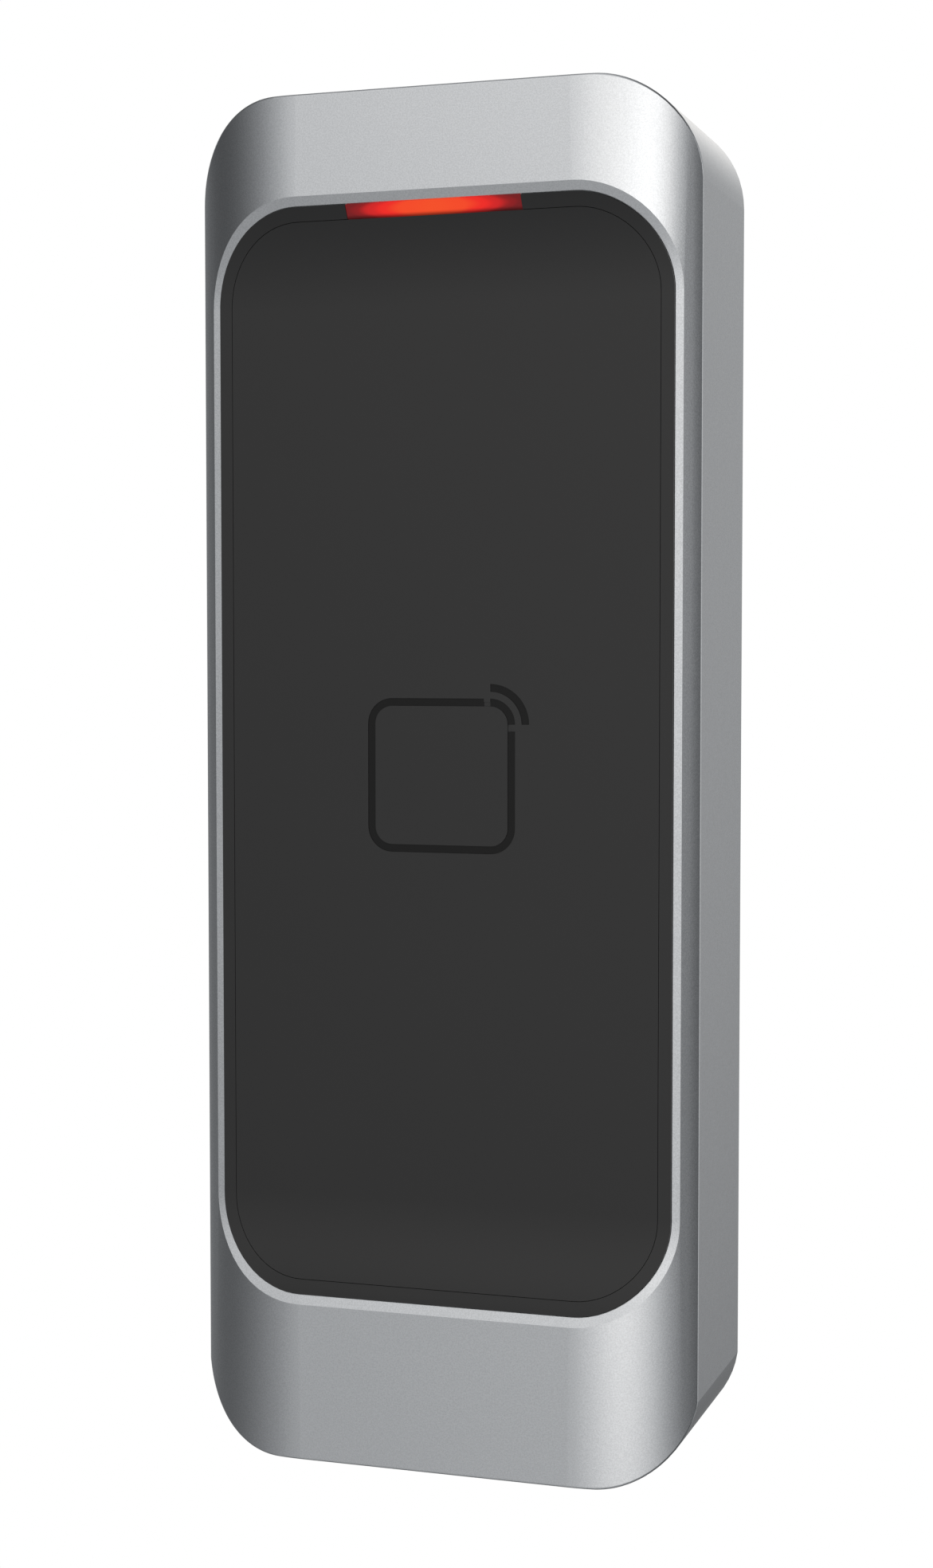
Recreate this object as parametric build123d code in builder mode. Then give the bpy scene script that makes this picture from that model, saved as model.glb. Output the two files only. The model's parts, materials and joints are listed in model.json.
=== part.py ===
from build123d import *
import os
from math import asin, degrees

# A slim wall-mounted contactless card reader. The wall is the plane Y = 0, the reader stands out of
# it towards -Y, and +Z is up. The origin is the middle of the wall screw pattern. A depth is a
# distance out of the wall, so a piece at depth d lies at Y = -d.

# --- overall body ---------------------------------------------------------------------------------
body_width = 50.0
body_height = 131.5
body_depth = 23.4
corner_radius = 9.2
lower_corner_flare = 0.09  # the lower corners start this far outside the sides, leaving a faint crease
crown_flat = 27.0  # width of the flat down the middle of the front
crown_drop = 4.6  # how far the front falls back at its long edges
crown_edge_radius = 0.25
crown_edge_reach = 5.0  # how far in from the ends that edge's curves have their middles
back_edge_radius = 0.4
wall_gap = 0.3  # the housing's rear edge stands this far off the wall

# --- metal housing --------------------------------------------------------------------------------
rim_wall = 1.6
inner_wall = 2.6
shelf_width = 2.0
shelf_thickness = 1.6
boss_radius = 2.4
boss_corner_inset = 8.2  # from the body's side to the boss centre
boss_end_inset = 6.15  # from the body's end to the boss centre
post_radius = 1.8

# --- window and its black insert ------------------------------------------------------------------
window_side_margin = 2.27
window_top_margin = 10.55
window_bottom_margin = 16.25
window_radius = 9.0
band_width = 0.94
band_drop = 0.5
panel_recess = 3.0  # flat of the panel below the crown
scoop_length = 9.3  # stretch at each end over which the panel curves forward
scoop_rise = 2.7
strip_width = 1.28  # visible strip of the ring around the centre panel
groove_width = 0.05
insert_clearance = 0.04
panel_thickness = 1.0
ledge_thickness = 0.6
ledge_width = 2.0
gasket_thickness = 0.4
gasket_slot = 0.25  # clearance round the light guide

# --- light bar ------------------------------------------------------------------------------------
light_length = 17.26
light_clearance = 0.05
light_tab = 1.2  # how far each of the guide's two end tabs reaches past the bar
light_tab_thickness = 0.8
light_tab_gap = 0.1  # between a tab and the shelf in front of it
light_slot_margin = 0.2  # round the tabs in the shelf's slot
light_slot_drop = 0.8  # how much further down the shelf's slot reaches than the bar
light_led_gap = 0.2
led_width = 2.0
led_length = 1.25
led_height = 0.8
led_count = 3
led_pitch = 5.0

# --- engraved symbol ------------------------------------------------------------------------------
symbol_width = 14.8
symbol_bottom = -6.3
symbol_top = 8.5
symbol_radius = 2.45
symbol_line = 0.74
symbol_gap = 0.65
symbol_depth = 0.12

# --- wall plate and its fixings -------------------------------------------------------------------
plate_thickness = 2.0
plate_clearance = 1.2  # between the plate's sides and the inside of the rim
plate_top_gap = 1.55  # lets the rim's top wall swing past the plate
plate_bottom_gap = 1.15
wall_screw_spacing = 60.0
wall_screw_radius = 2.1
wall_screw_head_radius = 3.7
cable_window_width = 28.0
cable_window_top = 12.0
cable_window_bottom = -22.0
cable_window_radius = 3.0
hook_width = 5.0
hook_spacing = 11.0
hook_thickness = 1.5
hook_jog = 0.9  # gap between the plate's front and the upright of the hook
hook_foot_gap = 0.6
hook_foot_height = 1.6
hook_slot_height = 4.2  # blank that each hook is punched from
hook_slot_drop = 3.6
hook_play = 0.3
hook_bite = 0.55  # how far the hook stands into the top wall
hook_top_play = 0.25
pocket_wall = 1.2
hook_pocket_width = 18.0
hook_pocket_depth = 6.0
hook_pocket_height = 4.55
lug_width = 12.0
lug_thickness = 2.0
lug_reach = 9.5
lug_height = 5.15  # underside of the lug above the body's lower end
lock_pocket_width = 16.4
lock_pocket_height = 7.35
lock_pocket_depth = 11.0
lock_pad_height = 0.8
lock_pad_width = 8.0
lock_pad_margin = 2.0
lock_screw_chamfer = 0.3
lock_screw_radius = 1.5
lock_screw_length = 5.0
lock_screw_depth = 6.0
lock_screw_gap = 0.45
lock_screw_play = 0.05
lock_hole_play = 0.2
lock_key_radius = 0.85
lock_key_depth = 2.0

# --- rear cover and seal --------------------------------------------------------------------------
cover_gap = 0.6
cover_thickness = 1.6
cover_clearance = 0.25
cover_hole_clearance = 0.15
cover_notch_margin = 0.25
seal_width = 0.9
seal_thickness = 0.4
cover_screw_radius = 1.25
cover_screw_head_radius = 2.2
cover_screw_head_height = 1.0
cover_screw_length = 7.0
cross_width = 0.5  # cross recess in the screw heads
cross_length = 2.4
cross_depth = 0.6
thread_play = 0.02

# --- circuit boards -------------------------------------------------------------------------------
board_depth = 10.0  # rear face of the main board
board_thickness = 1.6
board_side_gap = 1.4
board_top_gap = 0.2  # above the board, to the rear cover bosses
board_bottom_gap = 0.6  # below the board, to the lock pocket
board_radius = 2.0
board_edge_inset = 6.0  # from the board's sides to its screws
board_screw_inset = 2.0  # from the board's top to its upper screws
board_screw_drop = 1.0  # from the window's lower end to the lower screws
board_screw_radius = 1.0
board_screw_bite = 0.65  # share of each post that its screw reaches into
board_hole_clearance = 0.1
board_screw_head_radius = 1.7
board_screw_head_height = 1.0
board_cross_width = 0.4
board_cross_length = 2.0
board_cross_depth = 0.5
antenna_board_thickness = 0.8
antenna_board_clearance = 0.3
coil_margin = 1.0
coil_turns = 6
coil_line = 0.45
coil_pitch = 0.85
coil_thickness = 0.1
ferrite_thickness = 0.4
ferrite_margin = 1.2
ferrite_bottom_margin = 10.0
ferrite_radius = 4.0
header_ways = 4
header_pitch = 2.54
header_height = 2.5
header_pin = 0.64
header_drop = 2.2  # from the ferrite's lower end down to the header

# --- wire terminal --------------------------------------------------------------------------------
terminal_ways = 5
terminal_pitch = 2.54
terminal_height = 6.0
terminal_base = 6.5
terminal_wall = 0.8
terminal_play = 0.2
terminal_rear = 2.7  # depth of the plug's rear face
shroud_rear = 4.5
shroud_floor = 1.0
pin_radius = 0.4
socket_radius = 0.5
socket_wall = 0.3
socket_start = 2.0  # from the plug's rear face to its contacts
pin_start = 3.0  # from the plug's rear face to the pins' ends
plug_end_margin = 1.3  # added to the ways to give the plug's length
plug_chamfer = 0.3
plug_cover_gap = 0.5
wire_hole = 1.7
wire_hole_inset = 1.7
release_slot_width = 1.4
release_slot_height = 0.9
release_slot_inset = 1.0
wire_hole_depth = 1.6

# --- tamper switch --------------------------------------------------------------------------------
tamper_x = 15.5
tamper_z = 24.0
tamper_body = 6.2
tamper_body_radius = 0.5
tamper_body_height = 3.6
tamper_bore = 1.6
tamper_floor = 1.0
plunger_radius = 1.5
plunger_flange_radius = 2.6
plunger_flange = 0.6
plunger_end = 7.4
plunger_tip_fillet = 0.5
plunger_play = 0.1
flange_play = 0.05
tamper_hole_radius = 3.2

# --- parts on the rear face of the main board, placed from the board's middle ---------------------
mcu_place = (-9.0, 22.0)
mcu_size = 9.0
mcu_height = 1.4
mcu_standoff = 0.1
mcu_pins = 12
mcu_pin_pitch = 0.62
mcu_pin_width = 0.28
mcu_pin_length = 1.5
mcu_pin_height = 0.35
mcu_chamfer = 0.25
reader_chip_place = (-9.0, -24.0)
reader_chip_size = 6.0
reader_chip_height = 0.9
crystal_place = (-9.0, -31.0)
crystal_length = 5.0
crystal_width = 3.2
crystal_height = 1.0
buzzer_place = (9.0, -34.0)
buzzer_radius = 4.5
buzzer_height = 3.2
buzzer_port_radius = 0.8
buzzer_port_depth = 1.2
inductor_place = (10.0, -20.0)
inductor_size = 6.0
inductor_height = 2.8
capacitor_places = ((-15.5, 3.0), (2.0, 27.0))
capacitor_radius = 2.5
capacitor_height = 4.6
capacitor_base = 5.3
capacitor_base_height = 0.4
regulator_place = (3.0, -20.0)
regulator_width = 3.5
regulator_length = 6.5
regulator_height = 1.6
regulator_leg_rows = 3
regulator_leg_pitch = 2.3
chip_part_short = 0.8
chip_part_long = 1.6
chip_part_height = 0.5
chip_column_places = ((-14.5, -24.0), (-3.0, -30.0))
chip_column_pitch = 2.4
chip_column_count = 5
chip_field_place = (6.0, 38.0)
chip_field_pitch = (2.4, 3.0)
chip_field_count = (6, 3)

# --- derived sizes --------------------------------------------------------------------------------
body_top = body_height / 2
body_bottom = -body_top
crown_half = crown_flat / 2
crown_span = body_width / 2 - crown_half
crown_radius = (crown_span**2 + crown_drop**2) / (2 * crown_drop)
crown_angle = degrees(asin(crown_span / crown_radius))

window_width = body_width - 2 * window_side_margin
window_top = body_top - window_top_margin
window_bottom = body_bottom + window_bottom_margin
window_height = window_top - window_bottom
window_centre = (window_top + window_bottom) / 2

panel_face = body_depth - panel_recess
panel_seat = panel_face - panel_thickness
ring_rear = panel_seat - ledge_thickness
shelf_front = ring_rear - gasket_thickness
shelf_rear = shelf_front - shelf_thickness
scoop_radius = (scoop_length**2 + scoop_rise**2) / (2 * scoop_rise)
scoop_overrun = 0.6
scoop_angle = degrees(asin((scoop_length + scoop_overrun) / scoop_radius))
scoop_top = window_top - scoop_length
scoop_bottom = window_bottom + scoop_length

light_top = window_top - insert_clearance
light_bottom = window_top - strip_width
light_centre = (light_top + light_bottom) / 2
light_height = light_top - light_bottom

cover_rear = plate_thickness + cover_gap
cover_front = cover_rear + cover_thickness
seal_front = cover_front + seal_thickness
board_front = board_depth + board_thickness

boss_x = body_width / 2 - boss_corner_inset
boss_z = body_top - boss_end_inset
lug_bottom = body_bottom + lug_height
lug_top = lug_bottom + lug_thickness
rim_top = body_top - rim_wall
rim_bottom = body_bottom + rim_wall
lock_pocket_top = rim_bottom + lock_pocket_height
lock_block_top = lock_pocket_top + pocket_wall
hook_depth = plate_thickness + hook_jog
hook_top = rim_top + hook_bite
hook_pocket_bottom = rim_top - hook_pocket_height
hook_foot = hook_pocket_bottom + hook_foot_gap
hook_axis_depth = hook_depth + hook_thickness / 2
hook_axis_z = hook_top - hook_thickness / 2
hook_block_bottom = hook_pocket_bottom - pocket_wall
plate_top = rim_top - plate_top_gap
plate_bottom = rim_bottom + plate_bottom_gap
plate_height = plate_top - plate_bottom
plate_radius = corner_radius - rim_wall - plate_clearance
plate_half_width = body_width / 2 - rim_wall - plate_clearance
lock_screw_bottom = rim_bottom + lock_pad_height + lock_screw_gap

board_half_width = body_width / 2 - inner_wall - board_side_gap
board_top = boss_z - boss_radius - board_top_gap
board_bottom = lock_block_top + board_bottom_gap
board_middle = (board_top + board_bottom) / 2
board_length = board_top - board_bottom
post_x = board_half_width - board_edge_inset
post_top_z = board_top - board_screw_inset
post_bottom_z = window_bottom - board_screw_drop
post_places = [(x, z) for z in (post_top_z, post_bottom_z) for x in (-post_x, post_x)]
post_length = shelf_rear - board_front
board_screw_length = board_thickness + board_screw_bite * post_length
antenna_rear = ring_rear - antenna_board_thickness
antenna_inset = shelf_width + antenna_board_clearance
coil_rear = antenna_rear - coil_thickness
ferrite_rear = coil_rear - ferrite_thickness
ferrite_top = window_top - antenna_inset - ferrite_margin
ferrite_bottom = window_bottom + antenna_inset + ferrite_bottom_margin
ferrite_middle = (ferrite_top + ferrite_bottom) / 2
ferrite_half_width = window_width / 2 - antenna_inset - ferrite_margin
header_z = ferrite_bottom - header_drop
coil_radius = window_radius - antenna_inset - 0.1
terminal_width = terminal_ways * terminal_pitch + plug_end_margin
wire_z = terminal_base - terminal_height / 2 + wire_hole_inset
release_z = terminal_base + terminal_height / 2 - release_slot_inset
symbol_half = symbol_width / 2
symbol_centre = (symbol_top + symbol_bottom) / 2
arc_x = symbol_half - symbol_radius
arc_z = symbol_top - symbol_radius
outer_arc_radius = symbol_radius + symbol_gap + symbol_line / 2
plug_front = board_depth - shroud_floor - terminal_play


def at_depth(depth):
    """Sketch plane parallel to the wall: local X is +X, local Y is +Z, its normal leaves the wall."""
    return Plane.XZ.offset(depth)


def body_outline(inset):
    RectangleRounded(body_width - 2 * inset, body_height - 2 * inset, corner_radius - inset)


def outer_outline():
    """Outline of the metal body, with a faint crease where the lower corners leave the sides."""
    RectangleRounded(body_width + 2 * lower_corner_flare, body_height, corner_radius)
    with Locations((0, body_top - body_height)):
        RectangleRounded(body_width, 2 * body_height, corner_radius, mode=Mode.INTERSECT)


def window_outline(inset):
    with Locations((0, window_centre)):
        RectangleRounded(window_width - 2 * inset, window_height - 2 * inset, window_radius - inset)


def cover_outline():
    """Outline of the rear cover, with the two notches that clear the hook and lock pockets."""
    body_outline(rim_wall + cover_clearance)
    notch_top = hook_pocket_bottom - cover_clearance
    with Locations((0, (notch_top + body_top) / 2)):
        Rectangle(hook_pocket_width + 2 * cover_notch_margin, body_top - notch_top, mode=Mode.SUBTRACT)
    notch_bottom = lock_pocket_top + cover_clearance
    with Locations((0, (notch_bottom + body_bottom) / 2)):
        Rectangle(lock_pocket_width + 2 * cover_notch_margin, notch_bottom - body_bottom, mode=Mode.SUBTRACT)


os.makedirs("parts", exist_ok=True)

# --- sections shared by several pieces ------------------------------------------------------------
# across the body: flat in the middle of the front, curving back to the long edges
with BuildSketch(Plane.XY) as crown_section:
    with BuildLine():
        Line((body_width / 2, 0), (-body_width / 2, 0))
        Line((-body_width / 2, 0), (-body_width / 2, crown_drop - body_depth))
        CenterArc((-crown_half, crown_radius - body_depth), crown_radius, -90 - crown_angle, crown_angle)
        Line((-crown_half, -body_depth), (crown_half, -body_depth))
        CenterArc((crown_half, crown_radius - body_depth), crown_radius, -90, crown_angle)
        Line((body_width / 2, crown_drop - body_depth), (body_width / 2, 0))
    make_face()

# along the insert: everything behind its face, which curves forward at both ends
with BuildSketch(Plane.YZ) as scoop_section:
    with BuildLine():
        upper = CenterArc((-panel_face - scoop_radius, scoop_top), scoop_radius, 0, scoop_angle)
        lower = CenterArc((-panel_face - scoop_radius, scoop_bottom), scoop_radius, -scoop_angle, scoop_angle)
        Line(lower @ 1, upper @ 0)
        Polyline(upper @ 1, (0, (upper @ 1).Y), (0, (lower @ 0).Y), lower @ 0)
    make_face()

# --- front housing: the metal shell ---------------------------------------------------------------
with BuildPart() as front_housing:
    with BuildSketch(at_depth(wall_gap)):
        outer_outline()
    extrude(amount=body_depth)
    extrude(crown_section.sketch, amount=body_height, both=True, mode=Mode.INTERSECT)
    fillet(front_housing.faces().sort_by(Axis.Y)[-1].edges(), back_edge_radius)
    with BuildSketch(at_depth(0)):
        body_outline(rim_wall)
    extrude(amount=seal_front, mode=Mode.SUBTRACT)
    with BuildSketch(at_depth(seal_front)):
        body_outline(inner_wall)
    extrude(amount=shelf_rear - seal_front, mode=Mode.SUBTRACT)
    # window: an open rebate for the insert, and a smaller opening through the shelf behind it
    with BuildSketch(at_depth(shelf_front)):
        window_outline(0)
    extrude(amount=body_depth, mode=Mode.SUBTRACT)
    with BuildSketch(at_depth(shelf_rear)):
        window_outline(shelf_width)
    extrude(amount=shelf_thickness, mode=Mode.SUBTRACT)
    rim = (
        front_housing.edges()
        .filter_by(Axis.Y, reverse=True)
        .filter_by(lambda e: abs(e.center().X) < window_width / 2 + 0.01)
        .filter_by(lambda e: window_bottom - 0.01 < e.center().Z < window_top + 0.01)
        .filter_by(lambda e: -e.center().Y > shelf_front + 0.5)
    )
    chamfer(rim, band_width, band_drop)
    crown_edge = (
        front_housing.edges()
        .filter_by(Axis.Y, reverse=True)
        .filter_by(lambda e: -e.center().Y > body_depth / 2)
        .filter_by(
            lambda e: abs(e.center().X) > body_width / 2 - 0.01
            or abs(e.center().Z) > body_top - crown_edge_reach
        )
        .filter_by(lambda e: abs(abs(e.center().X) - crown_flat / 2) > 0.01)
    )
    fillet(crown_edge, crown_edge_radius)
    with BuildSketch(at_depth(shelf_rear)):
        with Locations((0, light_centre - light_slot_drop / 2)):
            Rectangle(
                light_length + 2 * (light_tab + light_slot_margin),
                light_height + light_slot_drop,
            )
    extrude(amount=shelf_thickness, mode=Mode.SUBTRACT)
    # bosses for the rear cover, posts for the main board
    with BuildSketch(at_depth(cover_front)):
        with GridLocations(2 * boss_x, 2 * boss_z, 2, 2):
            Circle(boss_radius)
    extrude(amount=shelf_rear - cover_front)
    with BuildSketch(at_depth(board_front)):
        with Locations(*post_places):
            Circle(post_radius)
    extrude(amount=post_length)
    # pocket around the hooks, and pocket around the lug of the lock screw
    with BuildSketch(at_depth(seal_front)):
        with Locations((0, (hook_block_bottom + rim_top) / 2)):
            Rectangle(hook_pocket_width + 2 * pocket_wall, rim_top - hook_block_bottom)
    extrude(amount=hook_pocket_depth + pocket_wall - seal_front)
    with BuildSketch(at_depth(seal_front)):
        with Locations((0, (lock_block_top + rim_bottom) / 2)):
            Rectangle(lock_pocket_width + 2 * pocket_wall, lock_block_top - rim_bottom)
    extrude(amount=lock_pocket_depth + pocket_wall - seal_front)
    with BuildSketch(at_depth(0)):
        with Locations((0, (hook_pocket_bottom + rim_top) / 2)):
            Rectangle(hook_pocket_width, rim_top - hook_pocket_bottom)
    extrude(amount=hook_pocket_depth, mode=Mode.SUBTRACT)
    with BuildSketch(at_depth(0)):
        with Locations((0, (lock_pocket_top + rim_bottom) / 2)):
            Rectangle(lock_pocket_width, lock_pocket_top - rim_bottom)
    extrude(amount=lock_pocket_depth, mode=Mode.SUBTRACT)
    with BuildSketch(at_depth(hook_depth - hook_play)):
        with Locations((0, rim_top)):
            Rectangle(hook_pocket_width, 2 * (hook_bite + hook_top_play))
    extrude(amount=hook_thickness + 2 * hook_play, mode=Mode.SUBTRACT)
    # thick pad and hole that the lock screw is wound down into
    with BuildSketch(Plane.XY.offset(rim_bottom)):
        with Locations((0, -lock_screw_depth)):
            Rectangle(lock_pad_width, 2 * (lock_screw_radius + lock_pad_margin))
    extrude(amount=lock_pad_height)
    with BuildSketch(Plane.XY.offset(body_bottom)):
        with Locations((0, -lock_screw_depth)):
            Circle(lock_screw_radius + lock_hole_play)
    extrude(amount=rim_wall + lock_pad_height, mode=Mode.SUBTRACT)
    # screw holes
    with BuildSketch(at_depth(cover_front)):
        with GridLocations(2 * boss_x, 2 * boss_z, 2, 2):
            Circle(cover_screw_radius + thread_play)
    extrude(amount=cover_screw_length, mode=Mode.SUBTRACT)
    with BuildSketch(at_depth(board_front)):
        with Locations(*post_places):
            Circle(board_screw_radius + thread_play)
    extrude(amount=post_length * (board_screw_bite + 1) / 2, mode=Mode.SUBTRACT)
front_housing.part.label = "front_housing"
export_step(front_housing.part, "parts/front_housing.step")


# --- front housing's black insert: ring, centre panel, light bar and gasket -----------------------
with BuildPart() as bezel_ring:
    with BuildSketch(at_depth(ring_rear)):
        window_outline(insert_clearance)
    extrude(amount=body_depth - ring_rear)
    extrude(scoop_section.sketch, amount=body_width, both=True, mode=Mode.INTERSECT)
    with BuildSketch(at_depth(panel_seat)):
        window_outline(strip_width)
    extrude(amount=body_depth, mode=Mode.SUBTRACT)
    with BuildSketch(at_depth(ring_rear)):
        window_outline(strip_width + ledge_width)
    extrude(amount=ledge_thickness, mode=Mode.SUBTRACT)
    with BuildSketch(at_depth(ring_rear)):
        with Locations((0, light_centre + light_clearance)):
            Rectangle(light_length + 2 * light_clearance, light_height + 2 * light_clearance)
    extrude(amount=body_depth, mode=Mode.SUBTRACT)
bezel_ring.part.label = "bezel_ring"
export_step(bezel_ring.part, "parts/bezel_ring.step")

# the symbol is a rounded square whose upper right corner is open, with a second arc outside it
with BuildSketch(at_depth(panel_face - symbol_depth)) as symbol:
    with Locations((0, symbol_centre)):
        RectangleRounded(symbol_width, symbol_top - symbol_bottom, symbol_radius)
        offset(amount=-symbol_line, mode=Mode.SUBTRACT)
    with Locations((arc_x - symbol_gap / 2, symbol_top), (symbol_half, arc_z - symbol_gap / 2)):
        Rectangle(symbol_gap, symbol_gap, mode=Mode.SUBTRACT)
with BuildSketch(at_depth(panel_face - symbol_depth)) as symbol_wave:
    with Locations((arc_x, arc_z)):
        Circle(outer_arc_radius + symbol_line / 2)
        Circle(outer_arc_radius - symbol_line / 2, mode=Mode.SUBTRACT)
    with Locations((arc_x + body_width / 2, arc_z + body_width / 2)):
        Rectangle(body_width, body_width, mode=Mode.INTERSECT)

with BuildPart() as front_panel:
    with BuildSketch(at_depth(panel_seat)):
        window_outline(strip_width + groove_width)
    extrude(amount=body_depth - panel_seat)
    extrude(scoop_section.sketch, amount=body_width, both=True, mode=Mode.INTERSECT)
    extrude(symbol.sketch, amount=1.0, mode=Mode.SUBTRACT)
    extrude(symbol_wave.sketch, amount=1.0, mode=Mode.SUBTRACT)
front_panel.part.label = "front_panel"
export_step(front_panel.part, "parts/front_panel.step")

with BuildPart() as light_guide:
    with BuildSketch(at_depth(board_front + led_height + light_led_gap)):
        with Locations((0, light_centre)):
            Rectangle(light_length, light_height)
    extrude(amount=body_depth)
    extrude(scoop_section.sketch, amount=body_width, both=True, mode=Mode.INTERSECT)
    with BuildSketch(at_depth(shelf_rear - light_tab_gap - light_tab_thickness)):
        with Locations((0, light_centre)):
            with GridLocations(light_length + light_tab, 1, 2, 1):
                Rectangle(light_tab, light_height)
    extrude(amount=light_tab_thickness)
light_guide.part.label = "light_guide"
export_step(light_guide.part, "parts/light_guide.step")

with BuildPart() as panel_gasket:
    with BuildSketch(at_depth(shelf_front)):
        window_outline(2 * insert_clearance)
        with Locations((0, window_centre)):
            RectangleRounded(
                window_width - 2 * shelf_width,
                window_height - 2 * shelf_width,
                window_radius - shelf_width,
                mode=Mode.SUBTRACT,
            )
        with Locations((0, light_centre)):
            Rectangle(light_length + 2 * gasket_slot, light_height + 2 * gasket_slot, mode=Mode.SUBTRACT)
    extrude(amount=gasket_thickness)
panel_gasket.part.label = "panel_gasket"
export_step(panel_gasket.part, "parts/panel_gasket.step")

# --- antenna --------------------------------------------------------------------------------------
with BuildPart() as antenna_board:
    with BuildSketch(at_depth(antenna_rear)):
        window_outline(antenna_inset)
    extrude(amount=antenna_board_thickness)
antenna_board.part.label = "antenna_board"
export_step(antenna_board.part, "parts/antenna_board.step")

with BuildPart() as antenna_coil:
    with BuildSketch(at_depth(coil_rear)):
        for turn in range(coil_turns):
            track_inset = antenna_inset + coil_margin + turn * coil_pitch
            with Locations((0, window_centre)):
                RectangleRounded(
                    window_width - 2 * track_inset,
                    window_height - 2 * track_inset,
                    coil_radius,
                )
                RectangleRounded(
                    window_width - 2 * (track_inset + coil_line),
                    window_height - 2 * (track_inset + coil_line),
                    coil_radius - coil_line,
                    mode=Mode.SUBTRACT,
                )
    extrude(amount=coil_thickness)
antenna_coil.part.label = "antenna_coil"
export_step(antenna_coil.part, "parts/antenna_coil.step")

with BuildPart() as ferrite_sheet:
    with BuildSketch(at_depth(ferrite_rear)):
        with Locations((0, ferrite_middle)):
            RectangleRounded(2 * ferrite_half_width, ferrite_top - ferrite_bottom, ferrite_radius)
    extrude(amount=ferrite_thickness)
ferrite_sheet.part.label = "ferrite_sheet"
export_step(ferrite_sheet.part, "parts/ferrite_sheet.step")

# pins that carry the coil's signal down to the main board, soldered at both ends
with BuildPart() as antenna_header:
    with BuildSketch(at_depth(board_front)):
        with Locations((0, header_z)):
            Rectangle(header_ways * header_pitch, header_height)
    extrude(amount=header_height)
    with BuildSketch(at_depth(board_front)):
        with Locations((0, header_z)):
            with GridLocations(header_pitch, 1, header_ways, 1):
                Rectangle(header_pin, header_pin)
    extrude(amount=antenna_rear - board_front)
antenna_header.part.label = "antenna_header"
export_step(antenna_header.part, "parts/antenna_header.step")

# --- main board and its parts ---------------------------------------------------------------------
with BuildPart() as main_board:
    with BuildSketch(at_depth(board_depth)):
        with Locations((0, board_middle)):
            RectangleRounded(2 * board_half_width, board_length, board_radius)
        with Locations(*post_places):
            Circle(board_screw_radius + board_hole_clearance, mode=Mode.SUBTRACT)
    extrude(amount=board_thickness)
main_board.part.label = "main_board"
export_step(main_board.part, "parts/main_board.step")



def on_board(place):
    """Point in a sketch parallel to the wall, from a place counted from the board's middle."""
    return (place[0], board_middle + place[1])


# parts on the rear face, towards the wall; each stands from the board to its own height
with BuildPart() as microcontroller:
    with BuildSketch(at_depth(board_depth - mcu_height)):
        with Locations(on_board(mcu_place)):
            Rectangle(mcu_size, mcu_size)
    extrude(amount=mcu_height - mcu_standoff)
    chamfer(microcontroller.faces().sort_by(Axis.Y)[-1].edges(), mcu_chamfer)
    with BuildSketch(at_depth(board_depth - mcu_pin_height)):
        with Locations(on_board(mcu_place)):
            with GridLocations(mcu_size + mcu_pin_length - 0.1, mcu_pin_pitch, 2, mcu_pins):
                Rectangle(mcu_pin_length, mcu_pin_width)
            with GridLocations(mcu_pin_pitch, mcu_size + mcu_pin_length - 0.1, mcu_pins, 2):
                Rectangle(mcu_pin_width, mcu_pin_length)
    extrude(amount=mcu_pin_height)
microcontroller.part.label = "microcontroller"
export_step(microcontroller.part, "parts/microcontroller.step")

with BuildPart() as reader_chip:
    with BuildSketch(at_depth(board_depth - reader_chip_height)):
        with Locations(on_board(reader_chip_place)):
            Rectangle(reader_chip_size, reader_chip_size)
    extrude(amount=reader_chip_height)
    chamfer(reader_chip.faces().sort_by(Axis.Y)[-1].edges(), 0.1)
reader_chip.part.label = "reader_chip"
export_step(reader_chip.part, "parts/reader_chip.step")

with BuildPart() as crystal:
    with BuildSketch(at_depth(board_depth - crystal_height)):
        with Locations(on_board(crystal_place)):
            RectangleRounded(crystal_length, crystal_width, 0.5)
    extrude(amount=crystal_height)
    fillet(crystal.faces().sort_by(Axis.Y)[-1].edges(), 0.2)
crystal.part.label = "crystal"
export_step(crystal.part, "parts/crystal.step")

with BuildPart() as buzzer:
    with BuildSketch(at_depth(board_depth - buzzer_height)):
        with Locations(on_board(buzzer_place)):
            Circle(buzzer_radius)
    extrude(amount=buzzer_height)
    fillet(buzzer.faces().sort_by(Axis.Y)[-1].edges(), 0.4)
    with BuildSketch(at_depth(board_depth - buzzer_height)):
        with Locations(on_board(buzzer_place)):
            Circle(buzzer_port_radius)
    extrude(amount=buzzer_port_depth, mode=Mode.SUBTRACT)
buzzer.part.label = "buzzer"
export_step(buzzer.part, "parts/buzzer.step")

with BuildPart() as power_inductor:
    with BuildSketch(at_depth(board_depth - inductor_height)):
        with Locations(on_board(inductor_place)):
            RectangleRounded(inductor_size, inductor_size, 1.2)
    extrude(amount=inductor_height)
    chamfer(power_inductor.faces().sort_by(Axis.Y)[-1].edges(), 0.3)
power_inductor.part.label = "power_inductor"
export_step(power_inductor.part, "parts/power_inductor.step")

with BuildPart() as capacitors:
    with BuildSketch(at_depth(board_depth - capacitor_height)):
        with Locations(*[on_board(place) for place in capacitor_places]):
            Circle(capacitor_radius)
    extrude(amount=capacitor_height - capacitor_base_height)
    fillet(capacitors.faces().filter_by(Axis.Y).sort_by(Axis.Y)[-2:].edges(), 0.3)
    with BuildSketch(at_depth(board_depth - capacitor_base_height)):
        with Locations(*[on_board(place) for place in capacitor_places]):
            Rectangle(capacitor_base, capacitor_base)
    extrude(amount=capacitor_base_height)
capacitors.part.label = "capacitors"
export_step(capacitors.part, "parts/capacitors.step")

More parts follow.
